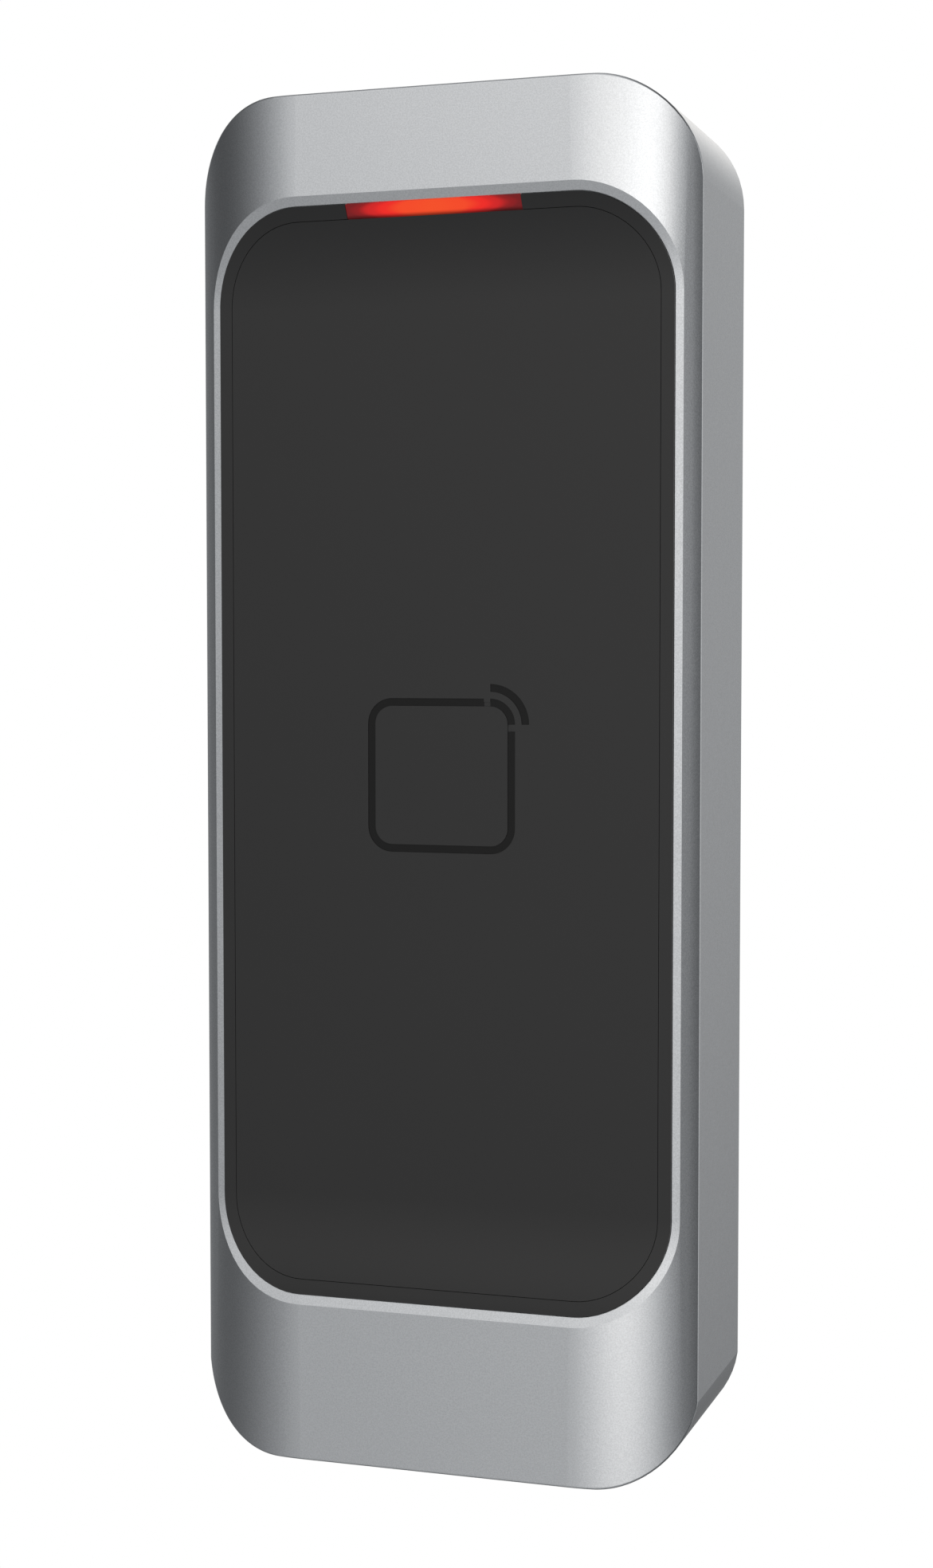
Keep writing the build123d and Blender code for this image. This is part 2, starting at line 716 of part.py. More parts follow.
with BuildPart() as voltage_regulator:
    with BuildSketch(at_depth(board_depth - regulator_height)):
        with Locations(on_board(regulator_place)):
            Rectangle(regulator_width, regulator_length)
    extrude(amount=regulator_height)
    with BuildSketch(at_depth(board_depth - 0.4)):
        with Locations(on_board(regulator_place)):
            with GridLocations(regulator_width + 1.2, regulator_leg_pitch, 2, regulator_leg_rows):
                Rectangle(1.4, 0.7)
    extrude(amount=0.4)
voltage_regulator.part.label = "voltage_regulator"
export_step(voltage_regulator.part, "parts/voltage_regulator.step")

with BuildPart() as chip_parts:
    with BuildSketch(at_depth(board_depth - chip_part_height)):
        with Locations(*[on_board(place) for place in chip_column_places]):
            with GridLocations(1, chip_column_pitch, 1, chip_column_count):
                Rectangle(chip_part_long, chip_part_short)
        with Locations(on_board(chip_field_place)):
            with GridLocations(*chip_field_pitch, *chip_field_count):
                Rectangle(chip_part_short, chip_part_long)
    extrude(amount=chip_part_height)
chip_parts.part.label = "chip_parts"
export_step(chip_parts.part, "parts/chip_parts.step")

with BuildPart() as indicator_leds:
    with BuildSketch(at_depth(board_front)):
        with Locations((0, light_centre)):
            with GridLocations(led_pitch, 1, led_count, 1):
                Rectangle(led_width, led_length)
    extrude(amount=led_height)
indicator_leds.part.label = "indicator_leds"
export_step(indicator_leds.part, "parts/indicator_leds.step")

# --- wire terminal: shroud and pins on the board, plug that pulls out towards the wall ------------
with BuildPart() as terminal_shroud:
    with BuildSketch(at_depth(shroud_rear)):
        with Locations((0, terminal_base)):
            Rectangle(
                terminal_width + 2 * (terminal_play + terminal_wall),
                terminal_height + 2 * (terminal_play + terminal_wall),
            )
    extrude(amount=board_depth - shroud_rear)
    with BuildSketch(at_depth(shroud_rear)):
        with Locations((0, terminal_base)):
            Rectangle(terminal_width + 2 * terminal_play, terminal_height + 2 * terminal_play)
    extrude(amount=board_depth - shroud_rear - shroud_floor, mode=Mode.SUBTRACT)
    with BuildSketch(at_depth(board_depth - shroud_floor)):
        with Locations((0, terminal_base)):
            with GridLocations(terminal_pitch, 1, terminal_ways, 1):
                Circle(pin_radius)
    extrude(amount=shroud_floor, mode=Mode.SUBTRACT)
terminal_shroud.part.label = "terminal_shroud"
export_step(terminal_shroud.part, "parts/terminal_shroud.step")

with BuildPart() as terminal_pins:
    with BuildSketch(at_depth(terminal_rear + pin_start)):
        with Locations((0, terminal_base)):
            with GridLocations(terminal_pitch, 1, terminal_ways, 1):
                Circle(pin_radius)
    extrude(amount=board_depth - terminal_rear - pin_start)
terminal_pins.part.label = "terminal_pins"
export_step(terminal_pins.part, "parts/terminal_pins.step")

with BuildPart() as terminal_plug:
    with BuildSketch(at_depth(terminal_rear)):
        with Locations((0, terminal_base)):
            Rectangle(terminal_width, terminal_height)
    extrude(amount=plug_front - terminal_rear)
    chamfer(terminal_plug.edges().filter_by(Axis.Y), plug_chamfer)
    with BuildSketch(at_depth(terminal_rear + socket_start)):
        with Locations((0, terminal_base)):
            with GridLocations(terminal_pitch, 1, terminal_ways, 1):
                Circle(socket_radius + socket_wall)
    extrude(amount=plug_front - terminal_rear, mode=Mode.SUBTRACT)
    with BuildSketch(at_depth(terminal_rear)):
        with Locations((0, wire_z)):
            with GridLocations(terminal_pitch, 1, terminal_ways, 1):
                Rectangle(wire_hole, wire_hole)
        with Locations((0, release_z)):
            with GridLocations(terminal_pitch, 1, terminal_ways, 1):
                Rectangle(release_slot_width, release_slot_height)
    extrude(amount=wire_hole_depth, mode=Mode.SUBTRACT)
terminal_plug.part.label = "terminal_plug"
export_step(terminal_plug.part, "parts/terminal_plug.step")

with BuildPart() as plug_contacts:
    with BuildSketch(at_depth(terminal_rear + socket_start)):
        with Locations((0, terminal_base)):
            with GridLocations(terminal_pitch, 1, terminal_ways, 1):
                Circle(socket_radius + socket_wall)
                Circle(socket_radius, mode=Mode.SUBTRACT)
    extrude(amount=plug_front - terminal_rear - socket_start)
plug_contacts.part.label = "plug_contacts"
export_step(plug_contacts.part, "parts/plug_contacts.step")

# --- tamper switch --------------------------------------------------------------------------------
with BuildPart() as tamper_switch:
    with BuildSketch(at_depth(board_depth - tamper_body_height)):
        with Locations((tamper_x, tamper_z)):
            RectangleRounded(tamper_body, tamper_body, tamper_body_radius)
    extrude(amount=tamper_body_height)
    with BuildSketch(at_depth(board_depth - tamper_body_height)):
        with Locations((tamper_x, tamper_z)):
            Circle(tamper_bore)
    extrude(amount=tamper_body_height - tamper_floor, mode=Mode.SUBTRACT)
tamper_switch.part.label = "tamper_switch"
export_step(tamper_switch.part, "parts/tamper_switch.step")

with BuildPart() as tamper_plunger:
    with BuildSketch(at_depth(0)):
        with Locations((tamper_x, tamper_z)):
            Circle(plunger_radius)
    extrude(amount=plunger_end)
    fillet(tamper_plunger.faces().sort_by(Axis.Y)[-1].edges(), plunger_tip_fillet)
    with BuildSketch(at_depth(cover_front + flange_play)):
        with Locations((tamper_x, tamper_z)):
            Circle(plunger_flange_radius)
    extrude(amount=plunger_flange)
tamper_plunger.part.label = "tamper_plunger"
export_step(tamper_plunger.part, "parts/tamper_plunger.step")

# --- rear cover -----------------------------------------------------------------------------------
with BuildPart() as rear_cover:
    with BuildSketch(at_depth(cover_rear)):
        cover_outline()
        with Locations((0, terminal_base)):
            Rectangle(
                terminal_width + 2 * plug_cover_gap,
                terminal_height + 2 * plug_cover_gap,
                mode=Mode.SUBTRACT,
            )
        with Locations((tamper_x, tamper_z)):
            Circle(plunger_radius + plunger_play, mode=Mode.SUBTRACT)
        with GridLocations(2 * boss_x, 2 * boss_z, 2, 2):
            Circle(cover_screw_radius + cover_hole_clearance, mode=Mode.SUBTRACT)
    extrude(amount=cover_thickness)
    for x in (-boss_x, boss_x):
        for z in (-boss_z, boss_z):
            with Locations(Location((x, -cover_rear, z), (-90, 0, 0))):
                Cone(
                    cover_screw_radius + cover_hole_clearance,
                    cover_screw_head_radius + cover_hole_clearance,
                    cover_screw_head_height,
                    align=(Align.CENTER, Align.CENTER, Align.MAX),
                    mode=Mode.SUBTRACT,
                )
rear_cover.part.label = "rear_cover"
export_step(rear_cover.part, "parts/rear_cover.step")

with BuildPart() as rear_seal:
    with BuildSketch(at_depth(cover_front)):
        cover_outline()
        offset(amount=-seal_width, kind=Kind.INTERSECTION, mode=Mode.SUBTRACT)
    extrude(amount=seal_thickness)
rear_seal.part.label = "rear_seal"
export_step(rear_seal.part, "parts/rear_seal.step")

# countersunk screws, turned about their own axis: head flush with the cover's rear face
with BuildSketch(Plane.XY) as cover_screw_section:
    Polygon(
        (0, 0),
        (cover_screw_head_radius, 0),
        (cover_screw_radius, cover_screw_head_height),
        (cover_screw_radius, cover_screw_length),
        (0, cover_screw_length),
        align=None,
    )
with BuildPart() as cover_screw:
    revolve(cover_screw_section.sketch, axis=Axis.Y)
    with BuildSketch(Plane.XZ):
        Rectangle(cross_length, cross_width)
        Rectangle(cross_width, cross_length)
    extrude(amount=-cross_depth, mode=Mode.SUBTRACT)
with BuildPart() as rear_cover_screws:
    for x in (-boss_x, boss_x):
        for z in (-boss_z, boss_z):
            with Locations(Location((x, -cover_rear, z), (180, 0, 0))):
                add(cover_screw.part)
rear_cover_screws.part.label = "rear_cover_screws"
export_step(rear_cover_screws.part, "parts/rear_cover_screws.step")

with BuildPart() as board_screws:
    with BuildSketch(at_depth(board_depth - board_screw_head_height)):
        with Locations(*post_places):
            Circle(board_screw_head_radius)
    extrude(amount=board_screw_head_height)
    with BuildSketch(at_depth(board_depth)):
        with Locations(*post_places):
            Circle(board_screw_radius)
    extrude(amount=board_screw_length)
    with BuildSketch(at_depth(board_depth - board_screw_head_height)):
        with Locations(*post_places):
            Rectangle(board_cross_length, board_cross_width)
            Rectangle(board_cross_width, board_cross_length)
    extrude(amount=board_cross_depth, mode=Mode.SUBTRACT)
board_screws.part.label = "board_screws"
export_step(board_screws.part, "parts/board_screws.step")

# --- wall plate -----------------------------------------------------------------------------------
with BuildPart() as wall_plate:
    with BuildSketch(at_depth(0)):
        with Locations((0, (plate_top + plate_bottom) / 2)):
            RectangleRounded(2 * plate_half_width, plate_height, plate_radius)
        with Locations((0, (cable_window_top + cable_window_bottom) / 2)):
            RectangleRounded(
                cable_window_width,
                cable_window_top - cable_window_bottom,
                cable_window_radius,
                mode=Mode.SUBTRACT,
            )
        with Locations((0, -wall_screw_spacing / 2), (0, wall_screw_spacing / 2)):
            Circle(wall_screw_radius, mode=Mode.SUBTRACT)
        with Locations((tamper_x, tamper_z)):
            Circle(tamper_hole_radius, mode=Mode.SUBTRACT)
        with Locations((0, lug_top + lug_reach / 2)):
            Rectangle(lug_width, lug_reach, mode=Mode.SUBTRACT)
        with Locations((0, hook_foot + hook_foot_height / 2 - hook_slot_drop + 0.7)):
            with GridLocations(hook_spacing, 1, 2, 1):
                Rectangle(hook_width, hook_slot_height, mode=Mode.SUBTRACT)
    extrude(amount=plate_thickness)
    for z in (-wall_screw_spacing / 2, wall_screw_spacing / 2):
        with Locations(Location((0, -plate_thickness, z), (90, 0, 0))):
            Cone(
                wall_screw_radius,
                wall_screw_head_radius,
                wall_screw_head_radius - wall_screw_radius,
                align=(Align.CENTER, Align.CENTER, Align.MAX),
                mode=Mode.SUBTRACT,
            )
    # lug bent out of the plate for the lock screw
    with BuildSketch(at_depth(0)):
        with Locations((0, (lug_bottom + lug_top) / 2)):
            Rectangle(lug_width, lug_thickness)
    extrude(amount=lug_reach)
    with BuildSketch(Plane.XY.offset(lug_bottom)):
        with Locations((0, -lock_screw_depth)):
            Circle(lock_screw_radius + lock_screw_play)
    extrude(amount=lug_thickness, mode=Mode.SUBTRACT)
    # hooks: bent forward, then up into the top wall of the housing, which turns on their round tips
    with BuildSketch(at_depth(plate_thickness)):
        with Locations((0, hook_foot + hook_foot_height / 2)):
            with GridLocations(hook_spacing, 1, 2, 1):
                Rectangle(hook_width, hook_foot_height)
    extrude(amount=hook_depth + hook_thickness - plate_thickness)
    with BuildSketch(at_depth(hook_depth)):
        with Locations((0, (hook_foot + hook_axis_z) / 2)):
            with GridLocations(hook_spacing, 1, 2, 1):
                Rectangle(hook_width, hook_axis_z - hook_foot)
    extrude(amount=hook_thickness)
    for x in (-hook_spacing / 2, hook_spacing / 2):
        with BuildSketch(Plane.YZ.offset(x - hook_width / 2)):
            with Locations((-hook_axis_depth, hook_axis_z)):
                Circle(hook_thickness / 2)
        extrude(amount=hook_width)
wall_plate.part.label = "wall_plate"
export_step(wall_plate.part, "parts/wall_plate.step")

with BuildPart() as lock_screw:
    with BuildSketch(Plane.XY.offset(lock_screw_bottom)):
        with Locations((0, -lock_screw_depth)):
            Circle(lock_screw_radius)
    extrude(amount=lock_screw_length)
    chamfer(lock_screw.faces().filter_by(Axis.Z).edges(), lock_screw_chamfer)
    with BuildSketch(Plane.XY.offset(lock_screw_bottom)):
        with Locations((0, -lock_screw_depth)):
            RegularPolygon(lock_key_radius, 6)
    extrude(amount=lock_key_depth, mode=Mode.SUBTRACT)
lock_screw.part.label = "lock_screw"
export_step(lock_screw.part, "parts/lock_screw.step")
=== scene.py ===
import json
import math
import bpy
import bmesh
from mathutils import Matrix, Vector


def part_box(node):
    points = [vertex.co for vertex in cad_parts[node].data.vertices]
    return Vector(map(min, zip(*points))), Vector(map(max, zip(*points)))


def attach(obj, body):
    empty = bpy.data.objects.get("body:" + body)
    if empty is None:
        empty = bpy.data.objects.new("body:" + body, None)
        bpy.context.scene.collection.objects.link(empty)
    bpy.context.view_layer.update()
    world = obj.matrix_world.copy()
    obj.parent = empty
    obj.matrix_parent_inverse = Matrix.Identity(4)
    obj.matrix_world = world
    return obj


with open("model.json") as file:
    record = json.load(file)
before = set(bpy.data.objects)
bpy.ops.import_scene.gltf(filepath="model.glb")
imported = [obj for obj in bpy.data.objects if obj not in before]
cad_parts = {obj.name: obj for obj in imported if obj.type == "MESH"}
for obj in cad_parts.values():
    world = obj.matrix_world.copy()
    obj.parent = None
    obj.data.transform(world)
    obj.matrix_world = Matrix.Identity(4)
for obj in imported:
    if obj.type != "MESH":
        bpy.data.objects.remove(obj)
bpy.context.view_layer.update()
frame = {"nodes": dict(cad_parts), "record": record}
nodes = frame["nodes"]
MM = 0.001

# --- camera: the photograph's viewing angle ---------------------------------------------------------
VIEW_AZIMUTH = 18.07
VIEW_ELEVATION = 2.99
VIEW_DISTANCE = 251.0 * MM
VIEW_TARGET = Vector((-1.02, -9.4, -0.25)) * MM
LENS_MM = 57.67
SENSOR_MM = 36.0

# --- studio -----------------------------------------------------------------------------------------
FLOOR_DROP = 0.16  # the floor lies this far below the object's middle
FLOOR_RADIUS = 4.0
FLOOR_SIDES = 96
BACKDROP_WHITE = (1, 1, 1, 1)
FILL_LEVEL = 0.024  # the even light from everywhere
STUDIO_COOL = (0.965, 0.984, 1.0)  # tint of the dim parts of the studio
STUDIO_WARM = (1.0, 0.98, 0.95)  # tint of its bright parts
# soft lights: azimuth and elevation in degrees, tightness, strength
SOFT_LIGHTS = [
    (-4.5, 29, 5.3, 0.77),  # broad, high in front
    (-8, -47, 2.6, 0.34),  # light thrown back up by the floor
    (42.5, 11, 27.0, 0.74),  # key light on the right, and its softer surround
    (25, -2.5, 10.4, 0.73),
    (199, 24, 9.7, 1.17),  # behind, lighting the edges
    (141, -8.5, 14.5, 0.67),  # behind on the right
    (-139, -6, 7.2, 0.38),  # a rim light behind on the left
    (109, 9, 20.0, 0.6),  # on the right side
    (0, 90, 8.0, 0.25),  # overhead
]

# --- finishes ---------------------------------------------------------------------------------------
METAL_DARK = (0.757, 0.779, 0.81)
METAL_LIGHT = (0.86, 0.884, 0.919)
PANEL_DARK = (0.0205, 0.0208, 0.0218)
PANEL_LIGHT = (0.0225, 0.0228, 0.0238)
PANEL_GLOSS = 0.62
PANEL_ROUGHNESS = 0.42
SYMBOL_DARK = (0.0125, 0.0126, 0.0129)
SYMBOL_LIGHT = (0.0155, 0.0156, 0.016)
SYMBOL_GLOSS = 0.25
SYMBOL_ROUGHNESS = 0.55
TRACK_PITCH = 0.9 * MM
VIA_SPACING = 3.1 * MM
TRACK_PATCH = 6 * MM
LIGHT_LENGTH = 17.26 * MM
LIGHT_HEIGHT = 1.24 * MM
LIGHT_STOPS = [  # place from the middle to the end, and colour
    (0.0, (0.9, 0.078, 0.02)),
    (0.36, (0.9, 0.068, 0.02)),
    (0.58, (0.85, 0.024, 0.018)),
    (0.73, (0.62, 0.018, 0.018)),
    (0.9, (0.25, 0.012, 0.014)),
    (1.0, (0.17, 0.012, 0.014)),
]

# --- symbol inlay, in the engraving of the panel (mm) -----------------------------------------------
SYMBOL_HALF = 7.4
SYMBOL_TOP = 8.5
SYMBOL_BOTTOM = -6.3
SYMBOL_RADIUS = 2.45
SYMBOL_LINE = 0.74
SYMBOL_GAP = 0.65
SYMBOL_DEPTH = 0.12
PANEL_FACE = 20.4  # how far the panel's flat face stands out of the wall
INLAY_THICKNESS = 0.06
INLAY_CLEARANCE = 0.015
ARC_STEPS = 16


def direction(azimuth, elevation):
    """Unit vector from the object towards an azimuth (0 is -Y) and elevation in degrees."""
    around = math.radians(azimuth)
    up = math.radians(elevation)
    return Vector((math.sin(around) * math.cos(up), -math.cos(around) * math.cos(up), math.sin(up)))


def aim(obj, target):
    """Turns the camera so that its -Z axis points at the target."""
    obj.rotation_euler = (target - obj.location).to_track_quat("-Z", "Y").to_euler()


def make_camera():
    data = bpy.data.cameras.new("camera")
    data.sensor_width = SENSOR_MM
    data.lens = LENS_MM
    data.clip_start = 1 * MM
    camera = bpy.data.objects.new("camera", data)
    camera.location = VIEW_TARGET + direction(VIEW_AZIMUTH, VIEW_ELEVATION) * VIEW_DISTANCE
    aim(camera, VIEW_TARGET)
    bpy.context.scene.collection.objects.link(camera)
    bpy.context.scene.camera = camera


class Graph:
    """Short calls that add shader nodes to one tree and link them."""

    def __init__(self, tree):
        self.tree = tree

    def add(self, kind, sockets=None, **settings):
        node = self.tree.nodes.new(kind)
        for name, value in settings.items():
            setattr(node, name, value)
        for name, value in (sockets or {}).items():
            self.set(node.inputs[name], value)
        return node

    def set(self, socket, value):
        if isinstance(value, bpy.types.NodeSocket):
            self.tree.links.new(value, socket)
        else:
            socket.default_value = value

    def math(self, operation, *values):
        node = self.add("ShaderNodeMath", operation=operation)
        for socket, value in zip(node.inputs, values):
            self.set(socket, value)
        return node.outputs[0]

    def mix(self, amount, first, second):
        """Mixes two colours, each a tuple or a socket."""
        node = self.add("ShaderNodeMix", data_type="RGBA")
        self.set(node.inputs["Factor"], amount)
        for socket, value in zip((node.inputs[6], node.inputs[7]), (first, second)):
            self.set(socket, (*value, 1) if isinstance(value, tuple) else value)
        return node.outputs[2]

    def ramp(self, amount, stops):
        """Smooth colour ramp over an amount from 0 to 1."""
        node = self.add("ShaderNodeValToRGB", {"Fac": amount})
        node.color_ramp.interpolation = "EASE"
        while len(node.color_ramp.elements) < len(stops):
            node.color_ramp.elements.new(0.5)
        for element, (place, colour) in zip(node.color_ramp.elements, stops):
            element.position = place
            element.color = (*colour, 1)
        return node.outputs["Color"]

    def blend(self, amount, first, second):
        """Mixes two shaders."""
        node = self.add("ShaderNodeMixShader", {"Fac": amount})
        self.set(node.inputs[1], first)
        self.set(node.inputs[2], second)
        return node.outputs["Shader"]

    def spread(self, amount, low, high):
        """Scales an amount from 0 to 1 to the range low to high."""
        return self.math("MULTIPLY_ADD", amount, high - low, low)

    def step(self, amount, low, high):
        """Rises from 0 to 1 while the amount goes from low to high."""
        sockets = {"Value": amount, "From Min": low, "From Max": high}
        return self.add("ShaderNodeMapRange", sockets, interpolation_type="SMOOTHSTEP").outputs[0]


class Finish(Graph):
    """A node material: even values sit on its shader, and varying ones are linked to it."""

    def __init__(self, name, colour, roughness, metallic=0.0):
        self.material = bpy.data.materials.new(name)
        self.material.use_nodes = True
        super().__init__(self.material.node_tree)
        self.shader = self.tree.nodes["Principled BSDF"]
        self.even("Base Color", (*colour, 1))
        self.even("Roughness", roughness)
        self.even("Metallic", metallic)
        self.where = self.add("ShaderNodeTexCoord").outputs["Object"]

    def even(self, socket, value):
        self.set(self.shader.inputs[socket], value)

    def grain(self, size_mm, detail=2.0, stretch=(1, 1, 1), distortion=0.0):
        """Noise from 0 to 1 with features about that size, longer along an axis of small stretch."""
        place = self.add("ShaderNodeMapping", {"Vector": self.where, "Scale": stretch}).outputs[0]
        scale = 1 / (size_mm * MM)
        sockets = {"Vector": place, "Scale": scale, "Detail": detail, "Distortion": distortion}
        return self.add("ShaderNodeTexNoise", sockets).outputs["Fac"]

    def axes(self):
        return self.add("ShaderNodeSeparateXYZ", {"Vector": self.where}).outputs

    def colour(self, value):
        self.even("Base Color", value)

    def rough(self, value):
        self.even("Roughness", value)

    def bump(self, height, depth_mm, strength=1.0):
        sockets = {"Height": height, "Strength": strength, "Distance": depth_mm * MM}
        self.even("Normal", self.add("ShaderNodeBump", sockets).outputs["Normal"])


def shade(colour, factor):
    return tuple(min(1.0, channel * factor) for channel in colour)


def make_world():
    """White behind the object, and a studio of soft lights that light it and show in its gloss."""
    scene = bpy.context.scene
    world = bpy.data.worlds.new("studio")
    scene.world = world
    world.use_nodes = True
    world.node_tree.nodes.clear()
    graph = Graph(world.node_tree)
    towards = graph.add("ShaderNodeTexCoord").outputs["Generated"]
    level = FILL_LEVEL
    for azimuth, elevation, tightness, strength in SOFT_LIGHTS:
        facing = graph.add("ShaderNodeVectorMath", operation="DOT_PRODUCT")
        graph.set(facing.inputs[0], towards)
        graph.set(facing.inputs[1], direction(azimuth, elevation))
        fall = graph.math("MULTIPLY_ADD", facing.outputs["Value"], tightness, -tightness)
        glow = graph.math("MULTIPLY", graph.math("EXPONENT", fall), strength)
        level = graph.math("ADD", glow, level)
    tint = graph.mix(level, STUDIO_COOL, STUDIO_WARM)
    fill = graph.add("ShaderNodeBackground", {"Color": tint, "Strength": level})
    seen = graph.add("ShaderNodeBackground", {"Color": BACKDROP_WHITE})
    looking = graph.add("ShaderNodeLightPath").outputs["Is Camera Ray"]
    surface = graph.blend(looking, fill.outputs["Background"], seen.outputs["Background"])
    graph.add("ShaderNodeOutputWorld", {"Surface": surface})
    scene.view_settings.view_transform = "Standard"
    scene.view_settings.look = "None"


def make_floor():
    """Pale floor well below the object. It lights nothing, and is clear when seen from below."""
    mesh = bpy.data.meshes.new("studio_floor")
    shape = bmesh.new()
    bmesh.ops.create_circle(shape, cap_ends=True, segments=FLOOR_SIDES, radius=FLOOR_RADIUS)
    shape.to_mesh(mesh)
    shape.free()
    floor = bpy.data.objects.new("studio_floor", mesh)
    floor.location = (0, 0, -FLOOR_DROP)
    bpy.context.scene.collection.objects.link(floor)
    pale = bpy.data.materials.new("studio_floor")
    pale.use_nodes = True
    pale.node_tree.nodes.clear()
    graph = Graph(pale.node_tree)
    glow = graph.add("ShaderNodeEmission", {"Color": BACKDROP_WHITE})
    clear = graph.add("ShaderNodeBsdfTransparent")
    under = graph.add("ShaderNodeNewGeometry").outputs["Backfacing"]
    surface = graph.blend(under, glow.outputs["Emission"], clear.outputs["BSDF"])
    graph.add("ShaderNodeOutputMaterial", {"Surface": surface})
    mesh.materials.append(pale)
    floor.visible_diffuse = False
    floor.visible_glossy = False
    floor.visible_shadow = False


# --- the front: metal frame, black insert and light bar ---------------------------------------------
def blasted_metal(name):
    """Satin silver frame with a fine, even, slightly cool sparkle."""
    finish = Finish(name, METAL_LIGHT, 0.2, 1.0)
    fine = finish.grain(0.14, 1.0)
    cloud = finish.grain(1.1, 3.0)
    sparkle = finish.step(fine, 0.25, 0.75)
    finish.colour(finish.mix(sparkle, METAL_DARK, METAL_LIGHT))
    finish.rough(finish.spread(cloud, 0.18, 0.22))
    finish.bump(fine, 0.002)
    return finish.material


def satin_black(
    name, dark=PANEL_DARK, light=PANEL_LIGHT, gloss=PANEL_GLOSS, roughness=PANEL_ROUGHNESS
):
    """Near-black satin moulding with a faint unevenness."""
    finish = Finish(name, light, roughness)
    finish.even("Specular IOR Level", gloss)
    fine = finish.grain(0.12, 2.0)
    cloud = finish.grain(16.0, 2.0)
    finish.colour(finish.mix(cloud, dark, light))
    finish.rough(finish.spread(fine, roughness - 0.04, roughness + 0.04))
    finish.bump(fine, 0.002)
    return finish.material


def lit_bar(name):
    """Frosted red light guide: orange in the middle, deep red towards its ends and lower edge."""
    low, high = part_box("light_guide")
    finish = Finish(name, (0.02, 0.001, 0.001), 0.4)
    finish.even("Specular IOR Level", 0.2)
    axes = finish.axes()
    half = LIGHT_LENGTH / 2
    along = finish.math("MULTIPLY", finish.math("ABSOLUTE", axes["X"]), 1 / half)
    middle = high.z - LIGHT_HEIGHT / 2
    across = finish.math("MULTIPLY", finish.math("SUBTRACT", axes["Z"], middle), 2 / LIGHT_HEIGHT)
    off = finish.math("ABSOLUTE", finish.math("SUBTRACT", across, 0.1))
    reach = finish.math("MULTIPLY_ADD", finish.math("MULTIPLY", off, off), 0.16, along)
    cloud = finish.grain(1.4, 2.0)
    reach = finish.math("MULTIPLY_ADD", finish.math("SUBTRACT", cloud, 0.5), 0.05, reach)
    hue = finish.ramp(reach, LIGHT_STOPS)
    edge = finish.step(across, -1.1, -0.4)
    finish.set(finish.shader.inputs["Emission Color"], hue)
    finish.set(finish.shader.inputs["Emission Strength"], finish.spread(edge, 0.22, 1.0))
    finish.bump(cloud, 0.004)
    return finish.material


# --- inside and back --------------------------------------------------------------------------------
def moulded(name, colour, roughness, grain_mm, depth_mm):
    """Plain moulding with a fine spark-eroded or matt skin."""
    finish = Finish(name, colour, roughness)
    fine = finish.grain(grain_mm, 3.0)
    cloud = finish.grain(7.0, 3.0)
    finish.colour(finish.mix(cloud, shade(colour, 0.86), shade(colour, 1.12)))
    finish.rough(finish.spread(fine, roughness - 0.07, roughness + 0.07))
    finish.bump(fine, depth_mm)
    return finish.material


def rolled_metal(name, colour, roughness, stretch):
    """Plated or drawn metal with faint streaks along one axis and a mottled skin."""
    finish = Finish(name, colour, roughness, 1.0)
    streak = finish.grain(0.09, 3.0, stretch)
    cloud = finish.grain(3.2, 4.0, distortion=0.6)
    tone = finish.math("MULTIPLY_ADD", cloud, 0.6, finish.math("MULTIPLY", streak, 0.4))
    finish.colour(finish.mix(tone, shade(colour, 0.8), shade(colour, 1.15)))
    finish.rough(finish.spread(tone, roughness - 0.08, roughness + 0.1))
    finish.bump(streak, 0.003)
    return finish.material


def circuit_board(name):
    """Green solder mask with buried tracks, running along X in some patches and along Z in others."""
    finish = Finish(name, (0.012, 0.11, 0.05), 0.3)
    axes = finish.axes()
    patch = finish.add("ShaderNodeTexVoronoi", {"Vector": finish.where, "Scale": 1 / TRACK_PATCH})
    patch.distance = "CHEBYCHEV"
    chooser = finish.add("ShaderNodeSeparateXYZ", {"Vector": patch.outputs["Color"]}).outputs["X"]
    across = finish.math("GREATER_THAN", chooser, 0.5)
    run = finish.add("ShaderNodeMix")
    finish.set(run.inputs[0], across)
    finish.set(run.inputs[2], axes["X"])
    finish.set(run.inputs[3], axes["Z"])
    wave = finish.math("PINGPONG", run.outputs[0], 0.5 * TRACK_PITCH)
    track = finish.step(wave, 0.16 * TRACK_PITCH, 0.24 * TRACK_PITCH)
    via = finish.add("ShaderNodeTexVoronoi", {"Vector": finish.where, "Scale": 1 / VIA_SPACING})
    dot = finish.math("LESS_THAN", via.outputs["Distance"], 0.11)
    glass = finish.grain(0.5, 2.0)
    mask = finish.mix(track, (0.008, 0.08, 0.035), (0.02, 0.17, 0.075))
    mask = finish.mix(finish.math("MULTIPLY", glass, 0.25), mask, (0.02, 0.12, 0.06))
    finish.colour(finish.mix(dot, mask, (0.6, 0.62, 0.6)))
    finish.rough(finish.spread(glass, 0.24, 0.36))
    finish.even("Coat Weight", 0.4)
    finish.bump(finish.math("MULTIPLY_ADD", glass, 0.2, track), 0.02)
    return finish.material


def ceramic_chip(name):
    """Fired ceramic bodies, from tan to brown."""
    finish = Finish(name, (0.5, 0.38, 0.24), 0.4)
    body = finish.grain(5.0, 0.0)
    speck = finish.grain(0.1, 2.0)
    tone = finish.mix(finish.step(body, 0.42, 0.56), (0.17, 0.1, 0.06), (0.55, 0.42, 0.27))
    finish.colour(finish.mix(finish.math("MULTIPLY", speck, 0.25), tone, (0.7, 0.66, 0.6)))
    finish.bump(speck, 0.004)
    return finish.material


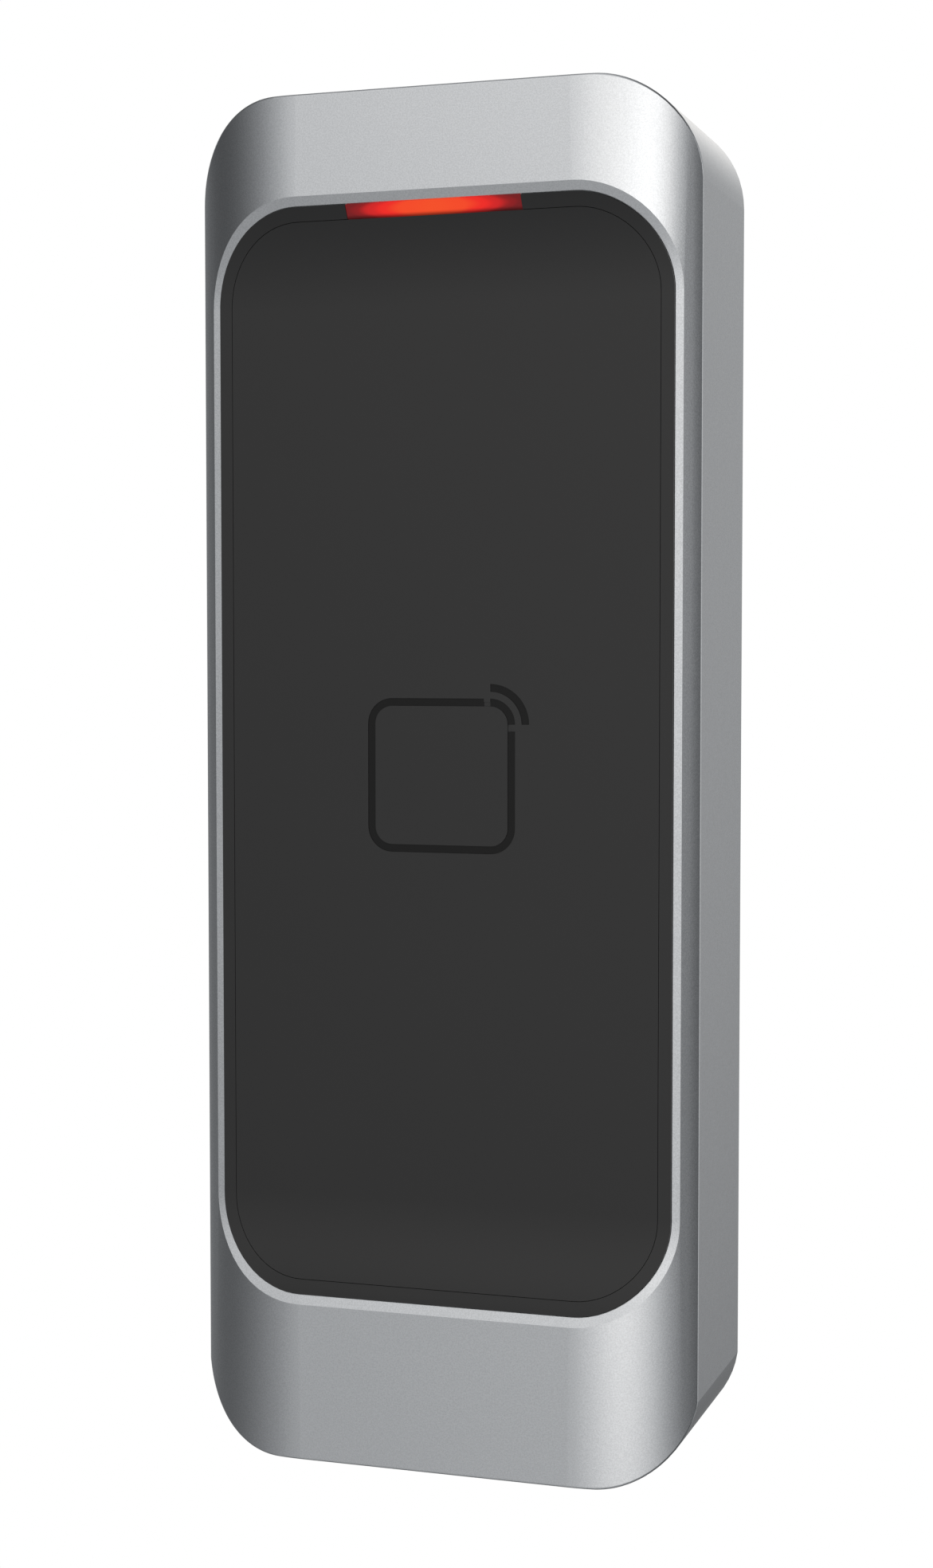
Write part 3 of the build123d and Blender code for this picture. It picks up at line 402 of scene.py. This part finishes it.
def clear_led(name):
    """White LED bodies with a warm phosphor middle."""
    finish = Finish(name, (0.85, 0.8, 0.7), 0.25)
    cloud = finish.grain(0.6, 2.0)
    finish.colour(finish.mix(cloud, (0.85, 0.82, 0.72), (0.9, 0.72, 0.4)))
    finish.even("Coat Weight", 0.6)
    finish.bump(cloud, 0.01)
    return finish.material


MAKERS = {
    "frame_metal": blasted_metal,
    "panel_black": satin_black,
    "ring_black": satin_black,
    "light_red": lit_bar,
    "gasket_black": lambda name: moulded(name, (0.03, 0.03, 0.031), 0.85, 0.25, 0.05),
    "board_green": circuit_board,
    "copper": lambda name: rolled_metal(name, (0.72, 0.4, 0.22), 0.34, (1, 1, 1)),
    "ferrite_grey": lambda name: moulded(name, (0.075, 0.075, 0.08), 0.6, 0.2, 0.02),
    "chip_black": lambda name: moulded(name, (0.022, 0.022, 0.024), 0.48, 0.08, 0.008),
    "can_metal": lambda name: rolled_metal(name, (0.7, 0.71, 0.72), 0.25, (1, 1, 0.1)),
    "part_tan": ceramic_chip,
    "led_body": clear_led,
    "terminal_green": lambda name: moulded(name, (0.035, 0.28, 0.12), 0.42, 0.16, 0.012),
    "pin_brass": lambda name: rolled_metal(name, (0.83, 0.67, 0.36), 0.27, (1, 0.15, 1)),
    "cover_black": lambda name: moulded(name, (0.03, 0.03, 0.031), 0.52, 0.22, 0.03),
    "seal_rubber": lambda name: moulded(name, (0.035, 0.035, 0.036), 0.75, 0.12, 0.01),
    "switch_grey": lambda name: moulded(name, (0.08, 0.08, 0.085), 0.5, 0.12, 0.01),
    "plunger_white": lambda name: moulded(name, (0.74, 0.74, 0.71), 0.4, 0.15, 0.006),
    "screw_steel": lambda name: rolled_metal(name, (0.66, 0.67, 0.69), 0.3, (1, 1, 1)),
    "plate_steel": lambda name: rolled_metal(name, (0.68, 0.69, 0.7), 0.36, (1, 1, 0.03)),
}


def quarter(x, z, radius, start):
    """Points in mm along a quarter circle that runs clockwise from an angle in degrees."""
    angles = [math.radians(start - 90 * step / ARC_STEPS) for step in range(ARC_STEPS + 1)]
    return [Vector((x + radius * math.cos(a), z + radius * math.sin(a))) for a in angles]


def ribbon(shape, points, width, rear, front):
    """Adds a flat strip to the mesh: points are X and Z in mm, rear and front are Y in mm."""
    sides = []
    for index, point in enumerate(points):
        before = points[max(index - 1, 0)]
        after = points[min(index + 1, len(points) - 1)]
        run = (after - before).normalized()
        out = Vector((run.y, -run.x)) * width / 2
        ring = [(point + out, front), (point - out, front), (point - out, rear), (point + out, rear)]
        sides.append([shape.verts.new((p.x * MM, y * MM, p.y * MM)) for p, y in ring])
    for one, two in zip(sides, sides[1:]):
        for corner in range(4):
            after = (corner + 1) % 4
            shape.faces.new((one[corner], one[after], two[after], two[corner]))
    shape.faces.new(list(reversed(sides[0])))
    shape.faces.new(sides[-1])


def make_symbol():
    """Dark inlay of the symbol: a rounded square open at its upper right, and an arc outside it."""
    arc_x = SYMBOL_HALF - SYMBOL_RADIUS
    arc_top = SYMBOL_TOP - SYMBOL_RADIUS
    arc_bottom = SYMBOL_BOTTOM + SYMBOL_RADIUS
    middle = SYMBOL_RADIUS - SYMBOL_LINE / 2
    square = [Vector((SYMBOL_HALF - SYMBOL_LINE / 2, arc_top - SYMBOL_GAP - INLAY_CLEARANCE))]
    square += quarter(arc_x, arc_bottom, middle, 0)
    square += quarter(-arc_x, arc_bottom, middle, -90)
    square += quarter(-arc_x, arc_top, middle, 180)
    square += [Vector((arc_x - SYMBOL_GAP - INLAY_CLEARANCE, SYMBOL_TOP - SYMBOL_LINE / 2))]
    corner = quarter(arc_x, arc_top, middle, 90)
    wave = quarter(arc_x, arc_top, SYMBOL_RADIUS + SYMBOL_GAP + SYMBOL_LINE / 2, 90)
    rear = SYMBOL_DEPTH - PANEL_FACE
    shape = bmesh.new()
    for stroke in (square, corner, wave):
        ribbon(shape, stroke, SYMBOL_LINE - 2 * INLAY_CLEARANCE, rear, rear - INLAY_THICKNESS)
    bmesh.ops.recalc_face_normals(shape, faces=shape.faces)
    mesh = bpy.data.meshes.new("symbol_inlay")
    shape.to_mesh(mesh)
    shape.free()
    look = satin_black("symbol_inlay", SYMBOL_DARK, SYMBOL_LIGHT, SYMBOL_GLOSS, SYMBOL_ROUGHNESS)
    mesh.materials.append(look)
    piece = bpy.data.objects.new("symbol_inlay", mesh)
    bpy.context.scene.collection.objects.link(piece)
    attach(piece, "reader")


def finish_nodes():
    """Gives every CAD node the finish of its material slot."""
    made = {}
    for part in frame["record"]["subparts"]:
        slot = part["material_slot"]
        if slot not in made:
            made[slot] = MAKERS[slot](slot)
        mesh = nodes[part["node"]].data
        mesh.materials.clear()
        mesh.materials.append(made[slot])


make_camera()
make_world()
make_floor()
finish_nodes()
make_symbol()
